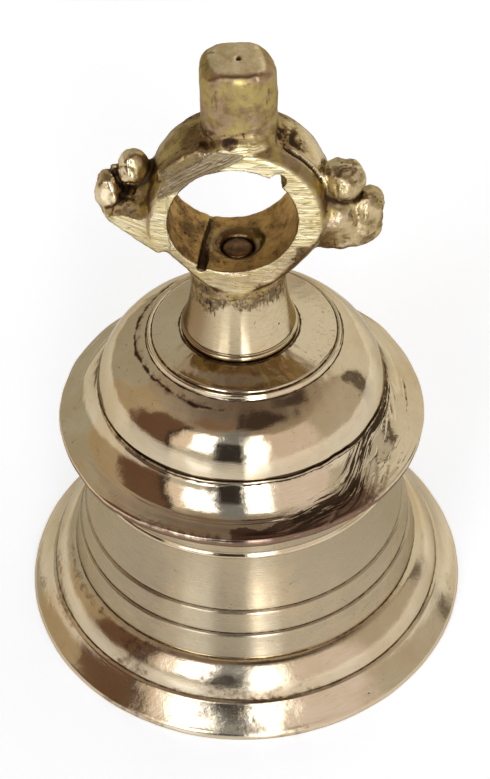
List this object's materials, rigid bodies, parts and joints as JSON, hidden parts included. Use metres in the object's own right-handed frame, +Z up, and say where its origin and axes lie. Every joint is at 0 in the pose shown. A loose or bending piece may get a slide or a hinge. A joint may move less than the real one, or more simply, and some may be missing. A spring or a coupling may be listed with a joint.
{
  "type": "hanging bell",
  "caption": "Turned cast-metal hanging bell with a stepped shoulder, a flared mouth, a ring hanger with beaded side lugs, and a clapper that hangs from an eye.",
  "frame": {"origin": "centre of the bell's mouth, on the plane that the lip rests on", "axes": "+Z up along the bell's axis to the top of the peg, X along the two lugs, -Y out of the filed front face of the ring"},
  "size_m": [0.1502, 0.1502, 0.2165],
  "materials": {
    "bell_metal": "pale bell metal, mirror polished on the lip, shoulder and dome, satin lathe finish on the waist",
    "hanger_brass": "sand-cast yellow brass, filed on its front, dark tarnish in the recesses",
    "steel": "plain mild steel, dulled",
    "clapper_brass": "turned brass, dulled"
  },
  "bodies": {
    "bell": {"bell_body": "bell_metal", "hanger": "hanger_brass", "crown_washer": "steel", "crown_nut": "steel"},
    "swivel": {"hanging_rod": "steel"},
    "clapper": {"clapper_rod": "steel", "clapper_ball": "clapper_brass", "clapper_washer": "steel", "clapper_nut": "steel"}
  },
  "joints": [
    {"name": "clapper_turn", "type": "hinge", "parent": "bell", "child": "swivel", "pos_m": [0, 0, 0.1], "axis": [0, 0, 1], "continuous": true},
    {"name": "clapper_swing", "type": "hinge", "parent": "swivel", "child": "clapper", "pos_m": [0, 0, 0.08], "axis": [1, 0, 0], "range_deg": [-38, 38]}
  ]
}
